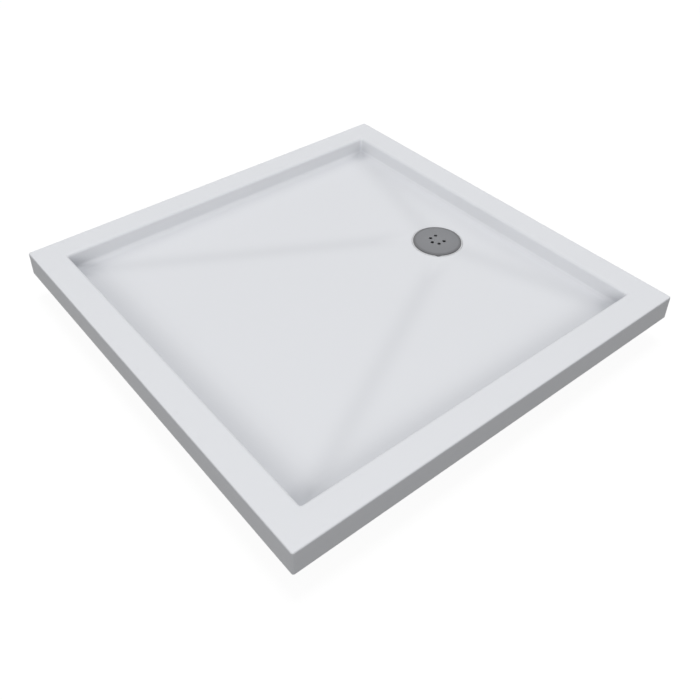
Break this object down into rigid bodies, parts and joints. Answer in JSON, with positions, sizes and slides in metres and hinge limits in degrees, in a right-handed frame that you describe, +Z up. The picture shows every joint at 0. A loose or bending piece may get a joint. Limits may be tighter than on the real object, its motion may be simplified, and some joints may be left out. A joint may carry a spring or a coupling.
{
  "type": "shower tray",
  "caption": "Square low shower tray with a wide flat rim, a floor that falls to a covered waste near one side, a low trap and levelling legs.",
  "frame": {"origin": "on the floor that the feet stand on, under the middle of the tray", "axes": "+Z up; +Y towards the wall side, where the waste lies; X across the tray"},
  "size_m": [0.9, 0.9, 0.115],
  "materials": {
    "white_acrylic": "glossy formed acrylic sheet, cool white",
    "cover_grey": "satin grey",
    "glass_fibre": "rough glass-fibre laminate with visible chopped strands",
    "core_filler": "matt rigid filler",
    "plywood": "unfinished plywood",
    "timber": "sawn softwood",
    "bracket_plastic": "moulded black plastic",
    "pad_plastic": "moulded black plastic, slightly textured",
    "plated_steel": "bright zinc plate",
    "plated_screw": "yellow zinc plate",
    "trap_plastic": "moulded white plastic",
    "nut_plastic": "moulded light grey plastic",
    "cup_plastic": "moulded grey plastic",
    "gasket_rubber": "matt black rubber"
  },
  "bodies": {
    "tray": {"backing_laminate": "glass_fibre", "base_board": "plywood", "body_gasket": "gasket_rubber", "bracket_screws": "plated_screw", "flange_gasket": "gasket_rubber", "floor_core": "core_filler", "leg_bracket_back_left": "bracket_plastic", "leg_bracket_back_right": "bracket_plastic", "leg_bracket_centre": "bracket_plastic", "leg_bracket_front_left": "bracket_plastic", "leg_bracket_front_right": "bracket_plastic", "lock_nut_back_left": "plated_steel", "lock_nut_back_right": "plated_steel", "lock_nut_centre": "plated_steel", "lock_nut_front_left": "plated_steel", "lock_nut_front_right": "plated_steel", "outlet_nut": "nut_plastic", "outlet_seal": "gasket_rubber", "outlet_washer": "cup_plastic", "rim_batten_back": "timber", "rim_batten_front": "timber", "rim_batten_left": "timber", "rim_batten_right": "timber", "trap_body": "trap_plastic", "tray_shell": "white_acrylic", "waste_flange": "trap_plastic"},
    "dip_cup": {"dip_cup": "cup_plastic", "cup_seal": "gasket_rubber"},
    "drain_cover": {"drain_cover": "cover_grey"},
    "foot_front_left": {"foot_pad_front_left": "pad_plastic"},
    "rod_front_left": {"leg_rod_front_left": "plated_steel"},
    "foot_front_right": {"foot_pad_front_right": "pad_plastic"},
    "rod_front_right": {"leg_rod_front_right": "plated_steel"},
    "foot_back_left": {"foot_pad_back_left": "pad_plastic"},
    "rod_back_left": {"leg_rod_back_left": "plated_steel"},
    "foot_back_right": {"foot_pad_back_right": "pad_plastic"},
    "rod_back_right": {"leg_rod_back_right": "plated_steel"},
    "foot_centre": {"foot_pad_centre": "pad_plastic"},
    "rod_centre": {"leg_rod_centre": "plated_steel"}
  },
  "joints": [
    {"name": "cup_lift", "type": "slide", "parent": "tray", "child": "dip_cup", "axis": [0, 0, 1], "range_m": [0, 0.08]},
    {"name": "cover_lift", "type": "slide", "parent": "dip_cup", "child": "drain_cover", "axis": [0, 0, 1], "range_m": [0, 0.06]},
    {"name": "leg_extend_front_left", "type": "slide", "parent": "tray", "child": "foot_front_left", "axis": [0, 0, -1], "range_m": [0, 0.015]},
    {"name": "rod_turn_front_left", "type": "hinge", "parent": "foot_front_left", "child": "rod_front_left", "pos_m": [-0.32, -0.32, 0.0145], "axis": [0, 0, -1], "range_deg": [0, 3086.7]},
    {"name": "leg_extend_front_right", "type": "slide", "parent": "tray", "child": "foot_front_right", "axis": [0, 0, -1], "range_m": [0, 0.015]},
    {"name": "rod_turn_front_right", "type": "hinge", "parent": "foot_front_right", "child": "rod_front_right", "pos_m": [0.32, -0.32, 0.0145], "axis": [0, 0, -1], "range_deg": [0, 3086.7]},
    {"name": "leg_extend_back_left", "type": "slide", "parent": "tray", "child": "foot_back_left", "axis": [0, 0, -1], "range_m": [0, 0.015]},
    {"name": "rod_turn_back_left", "type": "hinge", "parent": "foot_back_left", "child": "rod_back_left", "pos_m": [-0.32, 0.32, 0.0145], "axis": [0, 0, -1], "range_deg": [0, 3086.7]},
    {"name": "leg_extend_back_right", "type": "slide", "parent": "tray", "child": "foot_back_right", "axis": [0, 0, -1], "range_m": [0, 0.015]},
    {"name": "rod_turn_back_right", "type": "hinge", "parent": "foot_back_right", "child": "rod_back_right", "pos_m": [0.32, 0.32, 0.0145], "axis": [0, 0, -1], "range_deg": [0, 3086.7]},
    {"name": "leg_extend_centre", "type": "slide", "parent": "tray", "child": "foot_centre", "axis": [0, 0, -1], "range_m": [0, 0.015]},
    {"name": "rod_turn_centre", "type": "hinge", "parent": "foot_centre", "child": "rod_centre", "pos_m": [0, 0, 0.0145], "axis": [0, 0, -1], "range_deg": [0, 3086.7]}
  ],
  "couplings": [
    {"joint": "rod_turn_front_left", "follows": "leg_extend_front_left", "rad_per_m": 3590.4},
    {"joint": "rod_turn_front_right", "follows": "leg_extend_front_right", "rad_per_m": 3590.4},
    {"joint": "rod_turn_back_left", "follows": "leg_extend_back_left", "rad_per_m": 3590.4},
    {"joint": "rod_turn_back_right", "follows": "leg_extend_back_right", "rad_per_m": 3590.4},
    {"joint": "rod_turn_centre", "follows": "leg_extend_centre", "rad_per_m": 3590.4}
  ]
}
